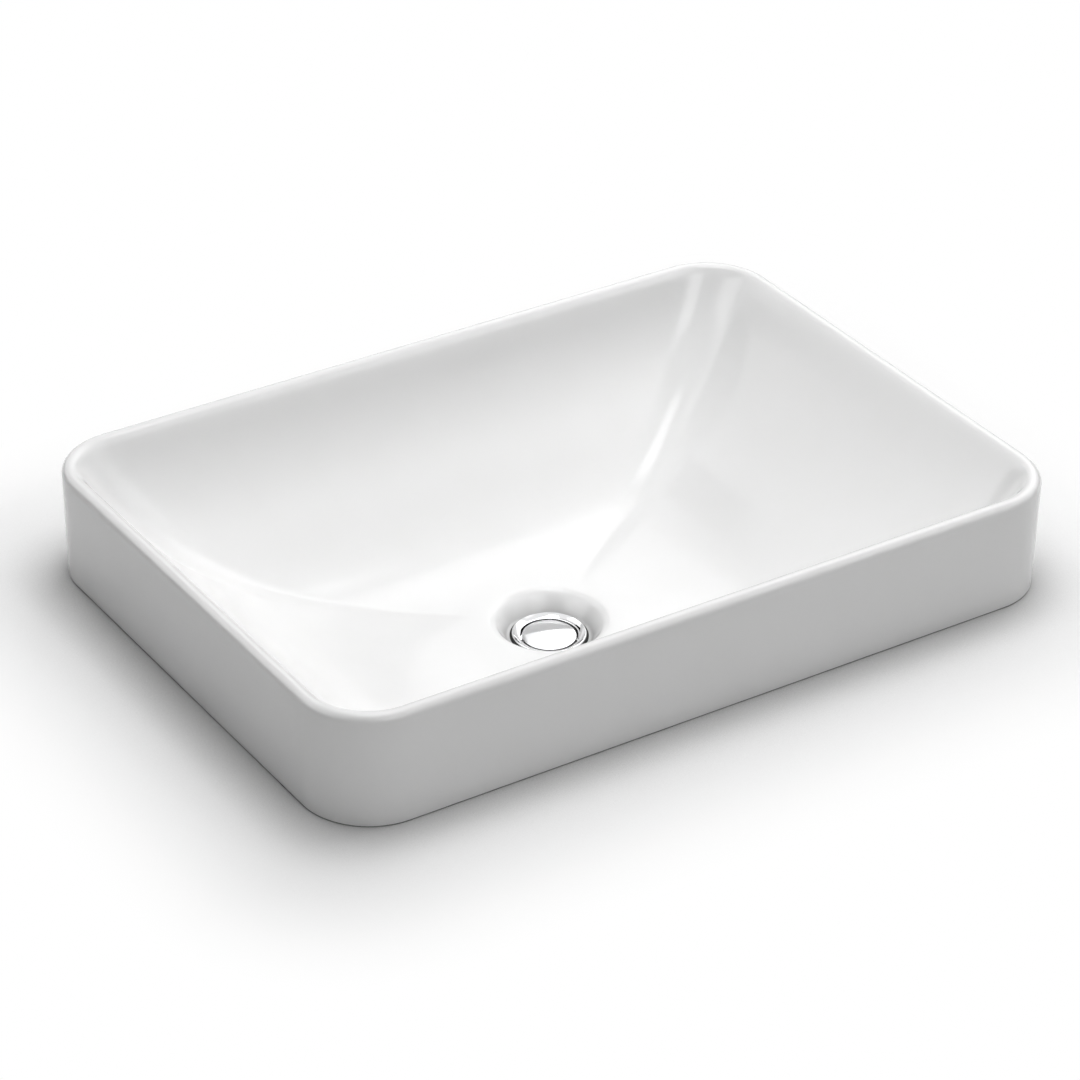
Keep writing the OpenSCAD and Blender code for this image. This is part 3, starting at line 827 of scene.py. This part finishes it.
def glaze_finish():
    """Clear-white glaze: hardly any tone, a few long waves in its gloss, and painted shade down the sump."""
    material, shader = finish_material("glazed_china", (0.92, 0.92, 0.92), 0.07, IOR=1.5)
    waves = add_group(material, GRAIN, Scale=26.0, Detail=1.0)
    vary_colour(material, shader, waves.outputs["Tone"], (0.922, 0.922, 0.92), (0.934, 0.934, 0.934))
    paint_sump_shade(material, shader)
    vary(material, shader, "Roughness", waves.outputs["Tone"], 0.05, 0.09)
    add_bump(material, shader, waves.outputs["Height"], strength=0.05, distance=0.0004)
    return material


def raw_china_finish():
    """Fired body without glaze, matt and slightly sandy."""
    material, shader = finish_material("raw_china", (0.8, 0.78, 0.74), 0.75)
    grain = add_group(material, GRAIN, Scale=900.0, Detail=4.0)
    vary_colour(material, shader, grain.outputs["Tone"], (0.72, 0.7, 0.66), (0.84, 0.82, 0.79))
    vary(material, shader, "Roughness", grain.outputs["Tone"], 0.65, 0.85)
    add_bump(material, shader, grain.outputs["Height"], strength=0.35, distance=0.0003)
    return material


def chrome_finish():
    """Polished chrome over turned brass."""
    material, shader = finish_material("chromed_brass", (0.82, 0.82, 0.83), 0.05, Metallic=1.0)
    film = add_group(material, GRAIN, Scale=120.0, Detail=2.0)
    vary(material, shader, "Roughness", film.outputs["Tone"], 0.03, 0.08)
    lines = add_group(material, TURNING, Lines_per_metre=3000.0)
    add_bump(material, shader, lines.outputs["Height"], strength=0.03, distance=0.00005)
    return material


def brass_finish():
    """Turned brass, a little dulled."""
    material, shader = finish_material("plain_brass", (0.72, 0.52, 0.24), 0.3, Metallic=1.0)
    film = add_group(material, GRAIN, Scale=180.0, Detail=3.0)
    vary_colour(material, shader, film.outputs["Tone"], (0.6, 0.42, 0.18), (0.78, 0.58, 0.28))
    vary(material, shader, "Roughness", film.outputs["Tone"], 0.22, 0.42)
    lines = add_group(material, TURNING, Lines_per_metre=4500.0)
    add_bump(material, shader, lines.outputs["Height"], strength=0.3, distance=0.00008)
    return material


def steel_finish():
    """Stainless steel with turning marks."""
    material, shader = finish_material("stainless_steel", (0.62, 0.61, 0.6), 0.25, Metallic=1.0)
    film = add_group(material, GRAIN, Scale=250.0, Detail=2.0)
    vary(material, shader, "Roughness", film.outputs["Tone"], 0.2, 0.34)
    lines = add_group(material, TURNING, Lines_per_metre=5000.0)
    add_bump(material, shader, lines.outputs["Height"], strength=0.2, distance=0.00006)
    return material


def rubber_finish(name, dark, light):
    """Moulded rubber with a faint bloom."""
    material, shader = finish_material(name, light, 0.65, Specular_IOR_Level=0.25)
    grain = add_group(material, GRAIN, Scale=700.0, Detail=3.0)
    vary_colour(material, shader, grain.outputs["Tone"], dark, light)
    vary(material, shader, "Roughness", grain.outputs["Tone"], 0.55, 0.78)
    add_bump(material, shader, grain.outputs["Height"], strength=0.25, distance=0.0002)
    return material


def plastic_finish():
    """Natural acetal, moulded, slightly waxy."""
    material, shader = finish_material("natural_plastic", (0.84, 0.82, 0.76), 0.4, IOR=1.48)
    grain = add_group(material, GRAIN, Scale=400.0, Detail=2.0)
    vary_colour(material, shader, grain.outputs["Tone"], (0.8, 0.78, 0.71), (0.87, 0.85, 0.8))
    vary(material, shader, "Roughness", grain.outputs["Tone"], 0.34, 0.5)
    add_bump(material, shader, grain.outputs["Height"], strength=0.12, distance=0.0002)
    return material


FINISHES = {
    "glazed_china": glaze_finish(),
    "chromed_brass": chrome_finish(),
    "plain_brass": brass_finish(),
    "stainless_steel": steel_finish(),
    "black_rubber": rubber_finish("black_rubber", (0.008, 0.008, 0.008), (0.02, 0.02, 0.02)),
    "grey_rubber": rubber_finish("grey_rubber", (0.1, 0.1, 0.105), (0.16, 0.16, 0.165)),
    "natural_plastic": plastic_finish(),
}
RAW_CHINA = raw_china_finish()

SLOT_OF = {part["node"]: part["material_slot"] for part in frame["record"]["subparts"]}
BODY_OF = {node: body for body, nodes in frame["record"]["behaviour"]["bodies"].items() for node in nodes}


def dress(node, piece):
    """Puts a detailed piece in a node's place, with the node's finish."""
    slot = SLOT_OF[node]
    piece.data.materials.append(FINISHES[slot])
    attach(piece, BODY_OF[node])
    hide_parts(node)
    return piece


basin = dress("basin", basin_piece())
basin.data.materials.append(RAW_CHINA)
dress("drain_body", drain_body_piece())
dress("stopper_cap", stopper_cap_piece())
dress("flange_gasket", washer_piece("flange_gasket", "flange_gasket_rubber"))
dress("lower_gasket", lower_gasket_piece())
dress("friction_washer", washer_piece("friction_washer", "friction_washer_plastic"))
dress("locknut", locknut_piece())
dress("tailpiece", tailpiece_piece())
dress("tailpiece_seal", washer_piece("tailpiece_seal", "tailpiece_seal_rubber"))
dress("stopper_seal", washer_piece("stopper_seal", "stopper_seal_rubber"))
dress("seal_retainer", washer_piece("seal_retainer", "seal_retainer_steel", 0.2))
dress("stopper_post", stopper_post_piece())
dress("jam_nut", jam_nut_piece())
dress("cartridge_sleeve", sleeve_piece())
dress("cartridge_spring", spring_piece())
dress("collar_seal", washer_piece("collar_seal", "collar_seal_rubber"))
dress("stem_wiper", washer_piece("stem_wiper", "stem_wiper_rubber"))

for node in ("plunger", "rotor", "cartridge_plug"):
    for slot in frame["nodes"][node].material_slots:
        slot.material = FINISHES[SLOT_OF[node]]


# Studio

# Camera fitted to the photograph: angles in degrees, distances in millimetres and lens in pixels
CAMERA_AZIMUTH = -33.43
CAMERA_ELEVATION = 31.33
CAMERA_ROLL = 0.91
CAMERA_DISTANCE = 2846.2
TARGET_LEFT = 7.18
TARGET_UP = 21.43
LENS_PIXELS = 4111.4
FRAME_PIXELS = 1080
SENSOR = 36


def direction(azimuth, elevation):
    """A direction in space, its azimuth counted from +X towards +Y."""
    around = math.radians(azimuth)
    up = math.radians(elevation)
    return Vector((math.cos(around) * math.cos(up), math.sin(around) * math.cos(up), math.sin(up)))


def add_camera():
    """The camera, at the photograph's angle. It looks a little to the left of the origin and above it."""
    back = direction(CAMERA_AZIMUTH - 90, CAMERA_ELEVATION)
    right = direction(CAMERA_AZIMUTH, 0)
    up = back.cross(right)
    turn = Matrix((right, up, back)).transposed() @ Matrix.Rotation(math.radians(CAMERA_ROLL), 3, "Z")
    target = turn @ Vector((-TARGET_LEFT, TARGET_UP, 0)) * MM
    lens = bpy.data.cameras.new("camera")
    lens.sensor_width = SENSOR
    lens.lens = SENSOR * LENS_PIXELS / FRAME_PIXELS
    lens.clip_end = 100
    camera = bpy.data.objects.new("camera", lens)
    camera.matrix_world = Matrix.Translation(target + back * CAMERA_DISTANCE * MM) @ turn.to_4x4()
    bpy.context.scene.collection.objects.link(camera)
    bpy.context.scene.camera = camera


# The surround's even light, and how pale the floor is to the eye and to the light it throws back
AMBIENT = 0.02
FLOOR_SHADE = 1.0
FLOOR_BOUNCE = 0.9

# The floor's level, just below the foot, and its rings, as insets from the rim's outline
GROUND_Z = -0.15
GROUND_INSETS = (8, 4, -20, -80, -300, -1200, -6000)

# How far from the basin, in metres, the floor begins to go over into plain white and where it ends
WHITE_FROM = 0.01
WHITE_TO = 0.15

# How far the shadow painted into the floor's colour reaches where the basin shuts out the light, and how
# deep it is
PAINTED_SHADOW_REACH = 0.14
PAINTED_SHADOW_DEPTH = 0.62
PAINTED_SHADOW_SAMPLES = 4

# Distance in metres of the cloths, and the columns of points in each
CLOTH_AWAY = 3.2
CLOTH_N = 13

# The row of pale cloths, each brighter than the last: where it starts and how wide each is, in degrees
PALE_N = 7
PALE_START = 84
PALE_STEP = 8


def seen_rays(tree):
    """1 for camera, glossy and transmission rays, and 0 for the light that falls on things."""
    path = tree.nodes.new("ShaderNodeLightPath")
    seen = math_node(tree, "MAXIMUM", path.outputs["Is Camera Ray"], path.outputs["Is Glossy Ray"])
    return math_node(tree, "MAXIMUM", seen, path.outputs["Is Transmission Ray"])


def floor_material():
    """A pale floor that keeps the real shadow, deepened by painted shadow near the basin, and goes over into
    plain white away from the basin.
    """
    material, shader = finish_material(
        "pale_floor", (0.93, 0.93, 0.93), 1.0, Specular_IOR_Level=0, Emission_Color=(1, 1, 1, 1),
    )
    tree = material.node_tree
    outward = tree.nodes.new("ShaderNodeTexCoord").outputs["Object"]
    outward = vector_node(tree, "ABSOLUTE", outward).outputs[0]
    outward = vector_node(tree, "SUBTRACT", outward, (HALF_W * MM, HALF_D * MM, 0)).outputs[0]
    outward = vector_node(tree, "MAXIMUM", outward, (0, 0, 0)).outputs[0]
    flat = vector_node(tree, "MULTIPLY", outward, (1, 1, 0)).outputs[0]
    reach = vector_node(tree, "LENGTH", flat).outputs["Value"]
    far = mapped(tree, reach, WHITE_FROM, WHITE_TO, smooth=True)
    seen = seen_rays(tree)
    side = tree.nodes.new("ShaderNodeNewGeometry")
    plain = math_node(tree, "MAXIMUM", far, side.outputs["Backfacing"])
    glow = math_node(tree, "MULTIPLY", seen, plain)
    tree.links.new(glow, shader.inputs["Emission Strength"])
    shade = mapped(tree, seen, 0, 1, FLOOR_BOUNCE, FLOOR_SHADE)
    # The floor keeps its real shadow, and painted shadow deepens it: ambient occlusion darkens the floor's
    # seen colour near the basin
    painted_shadow = tree.nodes.new("ShaderNodeAmbientOcclusion")
    painted_shadow.samples = PAINTED_SHADOW_SAMPLES
    painted_shadow.inputs["Distance"].default_value = PAINTED_SHADOW_REACH
    depth = math_node(tree, "MULTIPLY", seen, PAINTED_SHADOW_DEPTH)
    painted_darker = math_node(tree, "POWER", painted_shadow.outputs["AO"], depth)
    near = math_node(tree, "MULTIPLY", math_node(tree, "SUBTRACT", 1.0, glow), painted_darker)
    tree.links.new(math_node(tree, "MULTIPLY", shade, near), shader.inputs["Base Color"])
    return material


def cloth_material(name, shade):
    """Cloth of one even shade, however the lamps stand."""
    material, _ = finish_material(
        name, (0, 0, 0), 1.0, Specular_IOR_Level=0, Emission_Color=(1, 1, 1, 1), Emission_Strength=shade,
    )
    return material


def add_floor():
    """A wide floor with a cut-out under the basin, for the bowl to drop through."""
    rings = [rim_ring(inset, GROUND_Z) for inset in GROUND_INSETS]
    points = np.concatenate(rings)
    floor = piece_from("pale_floor", points, loft_faces(len(rings), RING_N, closed=False))
    if floor.data.polygons[0].normal.z < 0:
        floor.data.flip_normals()
    floor.data.materials.append(floor_material())


def fade_sides(light, edge):
    """Lets a lamp grow dim towards its four sides, as the cloth of a soft box does."""
    light.use_nodes = True
    tree = light.node_tree
    axes = axes_of(tree, "ShaderNodeNewGeometry", "Parametric")
    fades = []
    for axis in ("X", "Y"):
        other_side = math_node(tree, "SUBTRACT", 1.0, axes[axis])
        nearest = math_node(tree, "MINIMUM", axes[axis], other_side)
        fades.append(mapped(tree, nearest, 0, edge, smooth=True))
    tree.links.new(math_node(tree, "MULTIPLY", *fades), tree.nodes["Emission"].inputs["Strength"])


def add_lamp(name, azimuth, elevation, distance, size, power, turn=0.0, edge=0.35, diffuse=True, gloss=True):
    """A soft box that looks at the basin. It can be left out of matt light or out of gloss."""
    light = bpy.data.lights.new(name, "AREA")
    light.shape = "RECTANGLE"
    light.size, light.size_y = size
    light.energy = power
    if gloss:
        fade_sides(light, edge)
    lamp = bpy.data.objects.new(name, light)
    lamp.location = distance * direction(azimuth, elevation)
    look = (-lamp.location).to_track_quat("-Z", "Y").to_matrix()
    lamp.rotation_euler = (look @ Matrix.Rotation(math.radians(turn), 3, "Z")).to_euler()
    lamp.visible_diffuse = diffuse
    lamp.visible_glossy = gloss
    bpy.context.scene.collection.objects.link(lamp)


def add_flag(name, azimuths, elevations, distance, shade):
    """A curved cloth of one shade that shows in gloss alone, between two directions and two elevations."""
    radius = distance / MM
    points = [
        (radius * math.cos(turn), radius * math.sin(turn), radius * math.tan(up))
        for up in np.radians(elevations)
        for turn in np.radians(np.linspace(*azimuths, CLOTH_N))
    ]
    faces = [(k, k + 1, k + CLOTH_N + 1, k + CLOTH_N) for k in range(CLOTH_N - 1)]
    flag = piece_from(name, points, faces)
    flag.data.materials.append(cloth_material(name, shade))
    flag.visible_camera = False
    flag.visible_diffuse = False
    flag.visible_shadow = False


def add_world():
    """A white surround for the camera and for gloss, and an even, weaker light for the rest."""
    world = bpy.data.worlds.new("surround")
    world.use_nodes = True
    tree = world.node_tree
    background = tree.nodes["Background"]
    tree.links.new(mapped(tree, seen_rays(tree), 0, 1, AMBIENT, 1), background.inputs["Strength"])
    background.inputs["Color"].default_value = (1, 1, 1, 1)
    bpy.context.scene.world = world


add_camera()
add_floor()
add_world()

# Lamps: azimuth and elevation in degrees, distance and size in metres, power in watts
add_lamp("overhead_strip", 65, 78, 2.4, (2.2, 0.9), 20, turn=67, edge=0.25)
add_lamp("overhead_fill", 0, 90, 2.4, (1.8, 1.8), 25, gloss=False)
add_lamp("right_box", 28, 40, 2.6, (3.2, 1.5), 26, edge=0.3)
add_lamp("right_fill", 0, 65, 2.6, (1.1, 1.1), 9, gloss=False)
add_lamp("back_fill", 90, 18, 2.6, (1.1, 1.1), 15, gloss=False)
add_lamp("front_fill", 270, 40, 2.6, (1.1, 1.1), 6.5, gloss=False)
add_lamp("under_fill", 215, -50, 2.4, (1.6, 1.6), 26)
add_lamp("under_side", 330, -20, 2.4, (1.2, 1.2), 14)
add_lamp("left_panel", 172, 32, 2.6, (3.2, 1.6), 42, diffuse=False)
add_lamp("front_panel", 267, 28, 2.6, (2.1, 2.0), 38, diffuse=False)
add_lamp("far_panel", 312, 35, 2.6, (2.4, 3.0), 37, edge=0.5, diffuse=False)

# Cloths: from and to in azimuth and in elevation, distance, and shade from black at 0
add_flag("horizon_flag", (-15, 140), (0.3, 18), CLOTH_AWAY, 0)
add_flag("back_flag", (64, 84), (18, 62), CLOTH_AWAY, 0.6)
for step in range(PALE_N):
    start = PALE_START + PALE_STEP * step
    add_flag(f"pale_flag_{step + 1}", (start, start + PALE_STEP), (18, 62), CLOTH_AWAY, 0.8 + 0.2 * step)
add_flag("black_flag", (76, 97), (26, 46), CLOTH_AWAY - 0.2, 0)

bpy.context.scene.view_settings.view_transform = "Standard"
